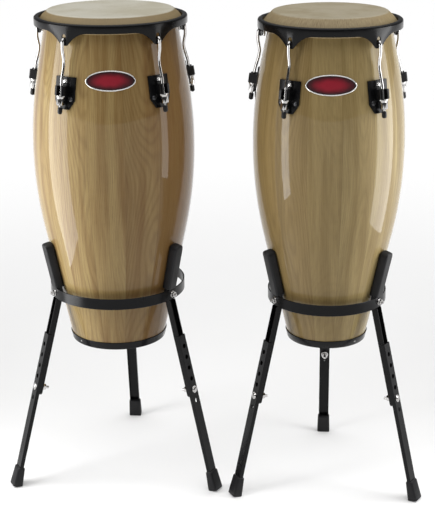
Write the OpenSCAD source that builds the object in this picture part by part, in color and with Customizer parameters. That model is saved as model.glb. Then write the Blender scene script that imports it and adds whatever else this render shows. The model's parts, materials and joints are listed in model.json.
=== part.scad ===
// A pair of conga drums, a large and a small one, each in its own three-legged basket stand.
// +X is right, -Y is the players' front, +Z is up and the floor is Z = 0.

/* [Large drum] */
// Diameter of the large drum's head over the bearing edge
large_head_d = 278; // [270:1:286]
// Diameter of the large shell at its belly
large_belly_d = 352; // [344:1:360]
// Diameter of the large shell at its bottom
large_base_d = 205; // [198:1:212]
// Height of the large drum's bottom above the floor
large_bottom_z = 319; // [310:1:330]
// Turn of the large drum in its stand, in degrees
large_drum_turn = 4.5; // [-10:0.1:10]
// Splay of the large stand's legs from vertical, in degrees
large_leg_splay = 14.6; // [13:0.1:16]

/* [Small drum] */
// Diameter of the small drum's head over the bearing edge
small_head_d = 249; // [243:1:255]
// Diameter of the small shell at its belly
small_belly_d = 324; // [318:1:330]
// Diameter of the small shell at its bottom
small_base_d = 168; // [163:1:173]
// Height of the small drum's bottom above the floor
small_bottom_z = 339; // [330:1:348]
// Turn of the small drum in its stand, in degrees
small_drum_turn = 0; // [-10:0.1:10]
// Splay of the small stand's legs from vertical, in degrees
small_leg_splay = 13.3; // [12:0.1:15]

/* [Both drums] */
// How far the small drum stands to the right of the large one
spacing_x = 464; // [455:0.5:475]
// How far the small drum stands in front of the large one
spacing_y = 66; // [40:0.5:80]
// Thickness of the wooden shell
wall = 11; // [9:1:13]
// Radius of the long curve down the side of the shell
side_curve_r = 900; // [850:10:1000]
// Diameter of the tuning hooks' rod
rod_d = 6.4; // [6:0.1:6.6]
// Number of tuning hooks on a drum
lugs = 5; // [5:1:5]

/* [Stands] */
// Height of the strap's middle above the floor
strap_z = 440; // [435:1:445]
// Height of the strap
strap_h = 24; // [20:1:26]
// Height of the leg clamp bolts above the floor
clamp_z = 224; // [215:1:235]
// Length of the padded arms above the strap
arm_l = 120; // [110:1:122]

/* [Hidden] */
$fn = 64;
LARGE = 0;
SMALL = 1;
SETS = ["large", "small"];
LEGS = 3;
ONE_EACH = ["shell", "head", "flesh_hoop", "bottom_band", "band_nails", "lug_brackets", "lug_bolts",
            "badge", "rim", "tuning_hooks", "hook_caps", "stand_strap", "stand_uprights",
            "arm_sleeves", "strap_bolts", "leg_bolts"];
PER_LUG = ["tuning_nut"];
PER_LEG = ["lower_leg", "foot", "clamp_nut"];

// Where each drum stands; the first value puts the middle of the pair's box over the origin
LARGE_PLACE = [-212.04, -21.19];
PLACE = [LARGE_PLACE, LARGE_PLACE + [spacing_x, -spacing_y]];
STAND_TURN = [-3.1, -3.4];
DRUM_TURN = [large_drum_turn, small_drum_turn];
BADGE_TURN = [3.3, -2.7];
NAIL_ANGLE = [-137.4, -49];
NAILS = 3;

// Shell: a straight top and bottom cone, tangent to one long curve round the belly
HEAD_R = [large_head_d, small_head_d] / 2;
BELLY_R = [large_belly_d, small_belly_d] / 2;
BASE_R = [large_base_d, small_base_d] / 2;
BOTTOM_Z = [large_bottom_z, small_bottom_z];
RIM_Z = BOTTOM_Z + [726, 705];
RIM_R = HEAD_R + [25, 27.5];
HEAD_Z = RIM_Z + [12, 16];
BELLY_Z = [760, 777];
SKIN = 2;
EDGE_R = [for (d = [LARGE, SMALL]) HEAD_R[d] - 1.7];
EDGE_Z = [for (d = [LARGE, SMALL]) HEAD_Z[d] - SKIN];

// Angle of the long curve's radius where the cone through the point (r, z) leaves it
function tangent_angle(d, r, z, side) =
    let (dx = r - BELLY_R[d] + side_curve_r, dz = z - BELLY_Z[d])
    atan2(dz, dx) - side * acos(side_curve_r / norm([dx, dz]));

LOW_ANGLE = [for (d = [LARGE, SMALL]) tangent_angle(d, BASE_R[d], BOTTOM_Z[d], -1)];
HIGH_ANGLE = [for (d = [LARGE, SMALL]) tangent_angle(d, EDGE_R[d], EDGE_Z[d], 1)];

function curve_point(d, a) =
    [BELLY_R[d] - side_curve_r * (1 - cos(a)), BELLY_Z[d] + side_curve_r * sin(a)];

// Outside radius of the shell at height z, and its lean there in degrees
function shell_lean(d, z) =
    min(HIGH_ANGLE[d], max(LOW_ANGLE[d], asin((z - BELLY_Z[d]) / side_curve_r)));
function shell_r(d, z) =
    let (a = shell_lean(d, z), p = curve_point(d, a))
    p[0] - (z - p[1]) * tan(a);

// Rim, head and hooks
LIP = 11;
LIP_DEEP = 8;
RIM_BAND = 18;
RIM_WALL = 3;
EAR_DROP = 38;
EAR_HALF = 20;
EAR_TIP = 2.65;
EAR_HOLE_R = 4.8;
EAR_HOLE_H = 13;
HOOK_BEND_R = 6.5;
HOOK_DROP = 37;
HOOK_LINE = [[8, 0.3], [18, 0.2], [27, -1.5], [39, -3.2], [51, -1.5], [63, 2], [75, 5.6]];

// Lug brackets, with the rod parallel to the shell
LUG_DROP = 143;
PLATE_W = 50;
PLATE_H = 68;
PLATE_T = 3.5;
BLOCK_UP = 5;
BLOCK_H = 20;
BLOCK_W = 24;
BLOCK_PAST_ROD = 9;
ROD_GAP = 14.5;
LUG_BOLTS = [[0, 24], [-17, -12], [17, -12]];
NUT_GAP = 0.4;
WASHER_T = 2;
WASHER_R = 10.2;
NUT_H = 17.8;
NUT_CORNER_R = 8.3;
CAP_DROP = 35;
CAP_L = 14;
BOLT_R = 3;
HOLE_R = 3.2;

// Stand: each leg lies in one upright plane, x outwards from the drum's axis
SLEEVE_PAD = 4;
SLEEVE_GAP = 0.5;
SLEEVE_W = 28;
SLEEVE_OUT = 2;
UP_W = 18.6;
UP_D = 14;
UP_T = 2;
UP_PAST_BOLT = 18;
STRAP_T = 2.5;
LEG_W = 23;
LEG_D = 9;
LEG_T = 1.8;
LEG_ABOVE_BOLT = 125;
LEG_SLIP = 0.4;
HOLE_PITCH = 25;
HOLES_UP = 4;
FOOT_L = 45;
SOLE_SINK = 2;
SPLAY = [large_leg_splay, small_leg_splay];
ARM_LEAN = [for (d = [LARGE, SMALL]) -LOW_ANGLE[d]];
UP_R = [for (d = [LARGE, SMALL])
    shell_r(d, strap_z) + (SLEEVE_PAD + SLEEVE_GAP) / cos(ARM_LEAN[d])];
STRAP_R = [for (d = [LARGE, SMALL]) UP_R[d] + UP_D / cos(ARM_LEAN[d])];
LEG_X = UP_D + LEG_SLIP + LEG_T - LEG_D / 2;
LEG_L = [for (d = [LARGE, SMALL]) (strap_z + LEG_X * sin(SPLAY[d])) / cos(SPLAY[d])];
BOLT_Z = [for (d = [LARGE, SMALL]) -(strap_z - clamp_z) / cos(SPLAY[d])];

BLACK = [0.14, 0.14, 0.15];
CHROME = [0.8, 0.8, 0.82];

// The directions of the lugs and of the legs, in degrees from +X
function lug_angle(d, k) = -90 + DRUM_TURN[d] + 180 / lugs + k * 360 / lugs;
function leg_angle(d, k) = -150 + STAND_TURN[d] + k * 360 / LEGS;

module at_drum(d) {
    translate([PLACE[d][0], PLACE[d][1], 0]) children();
}

module at_lug(d, k) {
    at_drum(d) rotate([0, 0, lug_angle(d, k)]) children();
}

module at_lugs(d) {
    for (k = [0 : lugs - 1]) at_lug(d, k) children();
}

module at_leg(d, k) {
    at_drum(d) rotate([0, 0, leg_angle(d, k)]) children();
}

module at_legs(d) {
    for (k = [0 : LEGS - 1]) at_leg(d, k) children();
}

// Frames on the shell's surface at height z, with x out of the wood
module on_shell(d, z) {
    translate([shell_r(d, z), 0, z]) rotate([0, -shell_lean(d, z), 0]) children();
}

// A lug's frame: z up along the leaning rod, origin on the rod at the block's middle
module on_rod(d) {
    on_shell(d, RIM_Z[d] - LUG_DROP) translate([ROD_GAP, 0, BLOCK_UP]) children();
}

// A leg's frame: z up along the leg, x outwards, origin on the upright's inner face at the strap
module along_leg(d) {
    translate([UP_R[d], 0, strap_z]) rotate([0, -SPLAY[d], 0]) children();
}

module along_arm(d) {
    translate([UP_R[d], 0, strap_z]) rotate([0, ARM_LEAN[d], 0]) children();
}

// Lay a drawing of (x, z) points upright and give it a width across the leg
module upright_plate(points, w) {
    rotate([90, 0, 0]) linear_extrude(w, center = true) polygon(points);
}

// Lay a drawing of (y, z) points across the leg and give it a depth from x0 to x1
module facing_plate(x0, x1) {
    translate([x0, 0, 0]) rotate([90, 0, 90]) linear_extrude(x1 - x0) children();
}

// ---- drum body ----

module shell_cut(d) {
    at_lugs(d) on_shell(d, RIM_Z[d] - LUG_DROP)
        for (b = LUG_BOLTS) translate([-wall - 6, b[0], b[1]]) rotate([0, 90, 0])
            cylinder(h = wall + 12, r = HOLE_R);
}

module shell(d) {
    steps = 16;
    side = [for (i = [0 : steps]) curve_point(d, LOW_ANGLE[d] + (HIGH_ANGLE[d] - LOW_ANGLE[d]) * i / steps)];
    outer = concat([[BASE_R[d], BOTTOM_Z[d]]], side, [[EDGE_R[d], EDGE_Z[d] - 3]]);
    edge = [[EDGE_R[d] - 1.2, EDGE_Z[d] - 0.6], [EDGE_R[d] - 3, EDGE_Z[d]]];
    inner = [for (i = [len(outer) - 1 : -1 : 0]) [outer[i][0] - wall, outer[i][1]]];
    color("burlywood") difference() {
        at_drum(d) rotate_extrude($fn = 96) polygon(concat(outer, edge, inner));
        shell_cut(d);
    }
}

module head(d) {
    top = HEAD_Z[d];
    rim = RIM_Z[d];
    r = HEAD_R[d];
    lip_r = RIM_R[d] - LIP - 0.8;
    roll_out = RIM_R[d] - RIM_WALL - 0.6;
    roll_in = roll_out - 12;
    under = rim - LIP_DEEP - 0.4;
    profile = [
        [0, top], [r - 4, top], [r - 1.2, top - 0.8], [r, top - 2.5],
        [lip_r, rim - 6.5], [lip_r, under], [roll_out - 1.5, under], [roll_out, under - 1.5],
        [roll_out, under - 10.5], [roll_out - 1.5, under - 12], [roll_in + 1.5, under - 12],
        [roll_in, under - 10.5], [roll_in, under - 5], [lip_r - 3.5, under - 1],
        [r - 1, top - 6], [r - 1.5, top - SKIN], [0, top - SKIN]];
    color("antiquewhite") at_drum(d) difference() {
        rotate_extrude($fn = 96) polygon(profile);
        flesh_ring(d);
    }
}

module flesh_ring(d) {
    translate([0, 0, RIM_Z[d] - LIP_DEEP - 6.4])
        rotate_extrude($fn = 96) translate([RIM_R[d] - RIM_WALL - 6.6, 0]) circle(r = 4.3, $fn = 24);
}

module flesh_hoop(d) {
    color(CHROME) at_drum(d) flesh_ring(d);
}

module bottom_band(d) {
    h = 16.5;
    t = 1.8;
    z = BOTTOM_Z[d];
    low = shell_r(d, z);
    high = shell_r(d, z + h);
    color(BLACK) at_drum(d) rotate_extrude($fn = 96)
        polygon([[low, z], [low + t, z], [high + t, z + h], [high, z + h]]);
}

module band_nails(d) {
    z = BOTTOM_Z[d] + 9;
    color(CHROME) for (k = [0 : NAILS - 1]) at_drum(d) rotate([0, 0, NAIL_ANGLE[d] + k * 360 / NAILS])
        on_shell(d, z) translate([1.8, 0, 0]) rotate([0, 90, 0]) cylinder(h = 1.2, r = 2.2, $fn = 24);
}

module bracket_plate() {
    w = PLATE_W / 2;
    h = PLATE_H / 2;
    facing_plate(-3, PLATE_T)
        polygon([[-w, h], [-w, -h + 20], [-w + 12, -h], [w - 12, -h], [w, -h + 20], [w, h]]);
}

// The slot that the rod drops into from the front
module rod_slot() {
    r = rod_d / 2 + 1.2;
    back = [for (a = [90 : 15 : 270]) [r * cos(a), r * sin(a)]];
    polygon(concat(back, [[BLOCK_PAST_ROD + 5, -r], [BLOCK_PAST_ROD + 5, r]]));
}

module bracket(d) {
    z = RIM_Z[d] - LUG_DROP;
    bend_r = shell_r(d, z) / cos(shell_lean(d, z));
    on_shell(d, z) difference() {
        union() {
            bracket_plate();
            translate([0, -BLOCK_W / 2, BLOCK_UP - BLOCK_H / 2])
                cube([ROD_GAP + BLOCK_PAST_ROD, BLOCK_W, BLOCK_H]);
        }
        translate([-bend_r, 0, -PLATE_H]) cylinder(h = 2 * PLATE_H, r = bend_r, $fn = 96);
        translate([ROD_GAP, 0, -PLATE_H]) linear_extrude(2 * PLATE_H) rod_slot();
        for (b = LUG_BOLTS) translate([-5, b[0], b[1]]) rotate([0, 90, 0])
            cylinder(h = PLATE_T + 8, r = HOLE_R);
    }
}

module lug_brackets(d) {
    color(BLACK) at_lugs(d) bracket(d);
}

module lug_bolts(d) {
    color(CHROME) at_lugs(d) on_shell(d, RIM_Z[d] - LUG_DROP)
        for (b = LUG_BOLTS) translate([0, b[0], b[1]]) rotate([0, 90, 0]) {
            translate([0, 0, PLATE_T]) cylinder(h = 2, r1 = 5, r2 = 3.6);
            translate([0, 0, -wall - 8]) cylinder(h = wall + 8 + PLATE_T, r = BOLT_R);
            translate([0, 0, -wall - 6.5]) cylinder(h = 4, r = 5.2, $fn = 6);
        }
}

module badge(d) {
    w = 104;
    h = 43;
    t = 1.6;
    z = RIM_Z[d] - 115;
    bend_r = shell_r(d, z) / cos(shell_lean(d, z));
    points = [for (i = [0 : 5 : 355]) [w / 2 * cos(i), h / 2 * sin(i)]];
    color("firebrick") at_drum(d) rotate([0, 0, -90 + BADGE_TURN[d]]) on_shell(d, z) intersection() {
        facing_plate(-30, 20) polygon(points);
        translate([-bend_r, 0, -h]) difference() {
            cylinder(h = 2 * h, r = bend_r + t, $fn = 96);
            translate([0, 0, -1]) cylinder(h = 2 * h + 2, r = bend_r, $fn = 96);
        }
    }
}

// ---- rim body: rim, tuning hooks and their caps ----

// Depth of an ear below the band at an angle from the ear's middle, in degrees
function ear_depth(a) = EAR_DROP * pow(1 - a / EAR_HALF, 2.4);

// What is cut away between two neighbouring ears, seen along the middle of the gap
module ear_gap(d) {
    steps = 12;
    half_gap = 180 / lugs;
    curve = [for (i = [0 : steps])
        let (a = EAR_TIP + (EAR_HALF - EAR_TIP) * i / steps)
        [RIM_R[d] * sin(half_gap - a), -ear_depth(a)]];
    left = [for (p = curve) [-p[0], p[1]]];
    right = [for (i = [steps : -1 : 0]) curve[i]];
    below = -EAR_DROP - 10;
    rotate([90, 0, 90]) linear_extrude(RIM_R[d] + 20)
        polygon(concat([[left[0][0], below]], left, right, [[right[steps][0], below]]));
}

// An upright slot with round ends, its lower end at the origin
module ear_hole(d) {
    low = [for (a = [180 : 15 : 360]) [EAR_HOLE_R * cos(a), EAR_HOLE_R * (1 + sin(a))]];
    high = [for (p = low) [-p[0], EAR_HOLE_H - p[1]]];
    facing_plate(0, RIM_R[d] + 20) polygon(concat(low, high));
}

module rim(d) {
    r = RIM_R[d];
    top = RIM_Z[d];
    in = r - LIP;
    wall_r = r - RIM_WALL;
    low = top - RIM_BAND;
    tip = low - ear_depth(EAR_TIP);
    under = top - LIP_DEEP;
    profile = [
        [wall_r, tip], [r, tip], [r, top - 4.5], [r - 0.6, top - 2.3], [r - 2.3, top - 0.6],
        [r - 4.5, top], [in + 2.5, top], [in + 0.7, top - 0.7], [in, top - 2.5], [in, under],
        [wall_r, under]];
    color(BLACK) difference() {
        at_drum(d) rotate_extrude($fn = 96) polygon(profile);
        at_lugs(d) rotate([0, 0, 180 / lugs]) translate([0, 0, low]) ear_gap(d);
        at_lugs(d) translate([0, 0, top - HOOK_DROP + HOOK_BEND_R - rod_d / 2 - 0.2]) ear_hole(d);
    }
}

// Points (r, z) down one tuning hook, from its inner tip over the ear and down to its end
function lug_point(d, along) =
    let (z = RIM_Z[d] - LUG_DROP, a = shell_lean(d, z), x = ROD_GAP, y = BLOCK_UP + along)
    [shell_r(d, z) + x * cos(a) - y * sin(a), z + x * sin(a) + y * cos(a)];

function hook_points(d) =
    let (ear = RIM_R[d] - RIM_WALL / 2, z = RIM_Z[d] - HOOK_DROP)
    concat(
        [[ear - HOOK_BEND_R, z - 7]],
        [for (a = [180 : -22.5 : 0]) [ear + HOOK_BEND_R * cos(a), z + HOOK_BEND_R * sin(a)]],
        [for (p = HOOK_LINE) [ear + HOOK_BEND_R + p[1], z - p[0]]],
        [lug_point(d, 14), lug_point(d, -CAP_DROP - 4)]);

// A round bar through points that all lie in the plane y = 0
module bent_rod(points, r) {
    sides = 8;
    n = len(points);
    way = [for (i = [0 : n - 1])
        let (v = points[min(i + 1, n - 1)] - points[max(i - 1, 0)]) v / norm(v)];
    rings = [for (i = [0 : n - 1]) for (j = [0 : sides - 1])
        let (a = 360 * (j + 0.5) / sides, u = r * cos(a))
        [points[i][0] + u * way[i][1], r * sin(a), points[i][1] - u * way[i][0]]];
    walls = [for (i = [0 : n - 2]) for (j = [0 : sides - 1])
        let (k = (j + 1) % sides)
        [i * sides + j, i * sides + k, (i + 1) * sides + k, (i + 1) * sides + j]];
    first = [for (j = [sides - 1 : -1 : 0]) j];
    last = [for (j = [0 : sides - 1]) (n - 1) * sides + j];
    polyhedron(rings, concat([first], walls, [last]));
}

module tuning_hooks(d) {
    color(CHROME) at_lugs(d) bent_rod(hook_points(d), rod_d / 2);
}

module hook_caps(d) {
    color(BLACK) at_lugs(d) on_rod(d) translate([0, 0, -CAP_DROP - CAP_L]) difference() {
        union() {
            translate([0, 0, 3]) cylinder(h = CAP_L - 3, r = 5);
            cylinder(h = 3, r1 = 3.2, r2 = 5);
        }
        translate([0, 0, CAP_L - 4.2]) cylinder(h = 5, r = rod_d / 2);
    }
}

// ---- one tuning nut: hexagon and washer in one ----

module tuning_nut(d, k) {
    color(CHROME) at_lug(d, k) on_rod(d) translate([0, 0, -BLOCK_H / 2 - NUT_GAP]) difference() {
        union() {
            translate([0, 0, -WASHER_T]) cylinder(h = WASHER_T, r = WASHER_R);
            translate([0, 0, -WASHER_T - NUT_H]) cylinder(h = NUT_H, r = NUT_CORNER_R, $fn = 6);
        }
        translate([0, 0, -NUT_H - 5]) cylinder(h = NUT_H + 10, r = rod_d / 2 + 1);
    }
}

// ---- stand ----

module stand_strap(d) {
    color(BLACK) difference() {
        at_drum(d) translate([0, 0, strap_z - strap_h / 2]) difference() {
            cylinder(h = strap_h, r = STRAP_R[d] + STRAP_T, $fn = 96);
            translate([0, 0, -1]) cylinder(h = strap_h + 2, r = STRAP_R[d], $fn = 96);
        }
        at_legs(d) translate([STRAP_R[d] - 10, 0, strap_z]) rotate([0, 90, 0])
            cylinder(h = 20, r = HOLE_R);
    }
}

// Side view of an upright: the padded arm above the strap and the leg below it
module upright_side(d, w) {
    arm = [sin(ARM_LEAN[d]), cos(ARM_LEAN[d])];
    arm_out = [cos(ARM_LEAN[d]), -sin(ARM_LEAN[d])];
    leg = [sin(SPLAY[d]), -cos(SPLAY[d])];
    leg_out = [cos(SPLAY[d]), sin(SPLAY[d])];
    bend = [UP_R[d], strap_z];
    flat = STRAP_R[d] - 0.5;
    notch = strap_h / 2 + 1;
    high = bend + UP_D * arm_out;
    low = bend + UP_D * leg_out;
    top = high + (arm_l - 4) * arm;
    end = low + (UP_PAST_BOLT - BOLT_Z[d]) * leg;
    above = high + (notch + UP_D * sin(ARM_LEAN[d])) / cos(ARM_LEAN[d]) * arm;
    below = low + (notch + UP_D * sin(SPLAY[d])) / cos(SPLAY[d]) * leg;
    upright_plate([
        bend + (arm_l - 4) * arm, bend, bend + (UP_PAST_BOLT - BOLT_Z[d]) * leg, end, below,
        [flat, strap_z - notch], [flat, strap_z + notch], above, top], w);
}

// The channel's hollow, open outwards and closed at both ends
module upright_hollow(d) {
    past = 40;
    half = (ARM_LEAN[d] + SPLAY[d]) / 2;
    middle = (SPLAY[d] - ARM_LEAN[d]) / 2;
    arm = [sin(ARM_LEAN[d]), cos(ARM_LEAN[d])];
    arm_out = [cos(ARM_LEAN[d]), -sin(ARM_LEAN[d])];
    leg = [sin(SPLAY[d]), -cos(SPLAY[d])];
    leg_out = [cos(SPLAY[d]), sin(SPLAY[d])];
    bend = [UP_R[d], strap_z];
    top = bend + (arm_l - 6) * arm;
    end = bend + (UP_PAST_BOLT - BOLT_Z[d] - 5) * leg;
    upright_plate([
        top + UP_T * arm_out, bend + UP_T / cos(half) * [cos(middle), sin(middle)],
        end + UP_T * leg_out, end + past * leg_out, top + past * arm_out], UP_W - 2 * 1.8);
}

module round_end_cut(d) {
    r = UP_W / 2 + 0.8;
    translate([0, 0, BOLT_Z[d] - UP_PAST_BOLT]) facing_plate(-5, 30) difference() {
        translate([-r - 5, -1]) square([2 * r + 10, r + 1]);
        translate([0, r]) circle(r = r);
    }
}

module stand_uprights(d) {
    color(BLACK) at_legs(d) difference() {
        upright_side(d, UP_W);
        upright_hollow(d);
        along_leg(d) round_end_cut(d);
        along_leg(d) translate([-5, 0, BOLT_Z[d]]) rotate([0, 90, 0]) cylinder(h = 40, r = HOLE_R);
        translate([UP_R[d] - 5, 0, strap_z]) rotate([0, 90, 0]) cylinder(h = 40, r = HOLE_R);
    }
}

module sleeve_outline() {
    r = 11;
    w = SLEEVE_W / 2;
    low = strap_h / 2 + 4;
    translate([-w, low]) square([SLEEVE_W, arm_l - low - r]);
    translate([-w + r, arm_l - r - 1]) square([SLEEVE_W - 2 * r, r + 1]);
    for (s = [-1, 1]) translate([s * (w - r), arm_l - r]) circle(r = r);
}

module arm_sleeves(d) {
    color(BLACK) at_legs(d) along_arm(d) difference() {
        facing_plate(-SLEEVE_PAD, UP_D + SLEEVE_OUT) sleeve_outline();
        translate([0, -UP_W / 2, 0]) cube([UP_D, UP_W, arm_l - 4]);
    }
}

module strap_bolts(d) {
    reach = STRAP_R[d] + STRAP_T - UP_R[d];
    color(CHROME) at_legs(d) translate([UP_R[d], 0, strap_z]) rotate([0, 90, 0]) {
        translate([0, 0, -1.5]) cylinder(h = 1.5, r = 5);
        cylinder(h = reach + 11, r = BOLT_R);
        translate([0, 0, reach]) cylinder(h = 1.5, r = 7.5);
        translate([0, 0, reach + 1.5]) cylinder(h = 5.5, r = 6.6, $fn = 6);
    }
}

module leg_bolts(d) {
    face = UP_D + LEG_SLIP + LEG_T + LEG_SLIP;
    color(CHROME) at_legs(d) along_leg(d) translate([0, 0, BOLT_Z[d]]) rotate([0, 90, 0]) {
        translate([0, 0, -16]) cylinder(h = 16 + face, r = BOLT_R);
        translate([0, 0, face]) cylinder(h = 3.6, r1 = 8, r2 = 5);
    }
}

module lower_leg(d, k) {
    top = BOLT_Z[d] + LEG_ABOVE_BOLT;
    end = -LEG_L[d] + 6;
    out = UP_D + LEG_SLIP + LEG_T;
    slot_r = BOLT_R + 0.5;
    color(BLACK) at_leg(d, k) along_leg(d) difference() {
        translate([out - LEG_D, -LEG_W / 2, end]) cube([LEG_D, LEG_W, top - end]);
        translate([out - LEG_D - 1, -LEG_W / 2 + LEG_T, end + 3])
            cube([LEG_D + 1 - LEG_T, LEG_W - 2 * LEG_T, top - end]);
        translate([0, -slot_r, BOLT_Z[d] - HOLE_PITCH])
            cube([out + 5, 2 * slot_r, HOLE_PITCH * (HOLES_UP + 1)]);
        for (i = [-1 : HOLES_UP]) translate([0, 0, BOLT_Z[d] + i * HOLE_PITCH]) rotate([0, 90, 0])
            cylinder(h = out + 5, r = slot_r + 1.2);
    }
}

// A block between two outlines, wider and deeper at its sole
module flared_block(top_w, low_w, top_d, low_d, h) {
    intersection() {
        rotate([90, 0, 0]) linear_extrude(low_w * 2, center = true)
            polygon([[-low_d / 2, 0], [low_d / 2, 0], [top_d / 2, h], [-top_d / 2, h]]);
        rotate([90, 0, 90]) linear_extrude(low_d * 2, center = true)
            polygon([[-low_w / 2, 0], [low_w / 2, 0], [low_w / 2, 12], [top_w / 2, h], [-top_w / 2, h],
                     [-low_w / 2, 12]]);
    }
}

module foot(d, k) {
    out = UP_D + LEG_SLIP + LEG_T;
    lift = 11 * sin(SPLAY[d]) - SOLE_SINK;
    color(BLACK) at_leg(d, k) difference() {
        along_leg(d) difference() {
            translate([LEG_X, 0, -LEG_L[d] + lift]) flared_block(27, 29, 16, 22, FOOT_L - lift);
            translate([out - LEG_D, -LEG_W / 2, -LEG_L[d] + 6]) cube([LEG_D, LEG_W, FOOT_L]);
        }
        translate([0, -50, -50]) cube([600, 100, 50]);
    }
}

// A flanged hexagon nut on the clamp bolt's inner end
module clamp_nut(d, k) {
    flange_t = 1.6;
    color(CHROME) at_leg(d, k) along_leg(d) translate([-0.3, 0, BOLT_Z[d]]) rotate([0, -90, 0]) difference() {
        union() {
            cylinder(h = flange_t, r = 8);
            translate([0, 0, flange_t]) cylinder(h = 6, r = 7.2, $fn = 6);
        }
        translate([0, 0, -1]) cylinder(h = 20, r = HOLE_R + 0.15);
    }
}

for (d = [LARGE, SMALL]) {
    name = SETS[d];
    shell(d);
    head(d);
    flesh_hoop(d);
    bottom_band(d);
    band_nails(d);
    lug_brackets(d);
    lug_bolts(d);
    badge(d);
    rim(d);
    tuning_hooks(d);
    hook_caps(d);
    stand_strap(d);
    stand_uprights(d);
    arm_sleeves(d);
    strap_bolts(d);
    leg_bolts(d);
    for (k = [1 : lugs]) {
        tuning_nut(d, k - 1);
    }
    for (k = [1 : LEGS]) {
        lower_leg(d, k - 1);
        foot(d, k - 1);
        clamp_nut(d, k - 1);
    }
}
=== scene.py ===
"""Two conga drums on basket stands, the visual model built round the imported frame.

Local sizes are in millimetres. Each local frame's matrix turns them into the frame's metres.
"""
import json
import math

import bmesh
import bpy
from mathutils import Matrix, Vector

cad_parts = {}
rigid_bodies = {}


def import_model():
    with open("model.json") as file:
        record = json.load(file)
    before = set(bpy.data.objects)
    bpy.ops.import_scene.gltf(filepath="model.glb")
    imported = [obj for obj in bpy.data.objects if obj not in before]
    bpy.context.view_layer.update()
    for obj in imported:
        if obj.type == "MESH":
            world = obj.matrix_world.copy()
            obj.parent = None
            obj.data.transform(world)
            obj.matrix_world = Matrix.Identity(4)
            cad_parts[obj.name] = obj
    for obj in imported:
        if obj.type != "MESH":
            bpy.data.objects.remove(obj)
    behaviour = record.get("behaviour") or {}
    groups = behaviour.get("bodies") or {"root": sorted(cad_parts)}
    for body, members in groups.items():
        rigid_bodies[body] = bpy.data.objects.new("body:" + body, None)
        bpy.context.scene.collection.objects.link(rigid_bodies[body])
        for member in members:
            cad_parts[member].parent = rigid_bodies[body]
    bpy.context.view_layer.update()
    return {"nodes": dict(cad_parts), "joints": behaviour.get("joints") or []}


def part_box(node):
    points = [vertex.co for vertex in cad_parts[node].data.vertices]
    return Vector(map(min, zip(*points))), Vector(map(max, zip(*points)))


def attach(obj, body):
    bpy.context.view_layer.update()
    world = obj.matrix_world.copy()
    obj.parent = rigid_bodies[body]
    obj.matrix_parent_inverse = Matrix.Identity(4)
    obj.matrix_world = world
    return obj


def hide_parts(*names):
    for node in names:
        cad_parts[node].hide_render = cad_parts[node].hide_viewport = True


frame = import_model()
JOINTS = {joint["name"]: joint for joint in frame["joints"]}
TO_METRES = Matrix.Scale(0.001, 4)
Z_OUTWARDS = Matrix.Rotation(math.pi / 2, 4, "Y")
Z_INWARDS = Matrix.Rotation(-math.pi / 2, 4, "Y")

# ---- sizes shared with the CAD model, in millimetres and degrees ----

SETS = {
    "large": dict(head_r=139.0, belly_r=176.0, belly_z=760.0, base_r=102.5, joint_at=11.9, badge_turn=3.3,
                  nail_at=-47.4),
    "small": dict(head_r=124.5, belly_r=162.0, belly_z=777.0, base_r=84.0, joint_at=5.9, badge_turn=-2.7,
                  nail_at=41.0),
}
SIDE_CURVE_R = 900.0
STAVES = 14
WALL = 11.0
EDGE_INSET = 1.7
SKIN = 2.0
LUGS = 5
LEGS = 3
NAILS = 3
LIP = 11.0
LIP_DEEP = 8.0
RIM_BAND = 18.0
RIM_WALL = 3.0
EAR_DROP = 38.0
EAR_HALF = 20.0
EAR_FLAT = 27.0
HOOK_BEND_R = 6.5
HOOK_DROP = 37.0
HOOK_LINE = [(8, 0.3), (18, 0.2), (27, -1.5), (39, -3.2), (51, -1.5), (63, 2), (75, 5.6)]
ROD_R = 3.2
LUG_DROP = 143.0
BLOCK_UP = 5.0
ROD_GAP = 14.5
PLATE_T = 3.5
LUG_BOLTS = [(0, 24), (-17, -12), (17, -12)]
NUT_TOP = -10.4
NUT_LOW = -30.0
CAP_DROP = 35.0
CAP_L = 14.0
THREAD_PITCH = 1.25
UP_D = 14.0
CLAMP_NUT_MIDDLE = 4.0
LEG_SLIP = 0.4
LEG_T = 1.8
LEG_D = 9.0
LEG_W = 23.0
LEG_ABOVE_BOLT = 125.0
HOLE_PITCH = 25.0
HOLES_UP = 4
LEG_X = UP_D + LEG_SLIP + LEG_T - LEG_D / 2
ARM_L = 120.0
STRAP_H = 24.0
STRAP_T = 2.5
SLEEVE_PAD = 4.0
SLEEVE_OUT = 2.0
FOOT_L = 45.0
BADGE_DROP = 115.0
BADGE_HALF_W = 52.0
BADGE_HALF_H = 21.5

# ---- sizes of the visual detail, in millimetres ----

SUNK = 0.2
EAR_HOLE_R = 4.8
EAR_HOLE_RISE = 3.4
LEG_HOLE_R = 4.7
ROUND_SEGMENTS = 144


# ---- mesh building ----


def add_grid(bm, rows, matrix, ring=False, caps=False, uv=None, material=0):
    """Quads between rows of points. Each row is a closed loop, and ring closes the rows as well."""
    verts = [[bm.verts.new(matrix @ Vector(p)) for p in row] for row in rows]
    layer = bm.loops.layers.uv.verify()
    n, m = len(rows), len(rows[0])
    for i in range(n if ring else n - 1):
        for j in range(m):
            corners = ((i, j), (i, j + 1), (i + 1, j + 1), (i + 1, j))
            face = bm.faces.new([verts[a % n][b % m] for a, b in corners])
            face.material_index = material
            if uv:
                for loop, (a, b) in zip(face.loops, corners):
                    loop[layer].uv = uv(a, b)
    if caps:
        for row in (verts[0], verts[-1]):
            bm.faces.new(row).material_index = material


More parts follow.
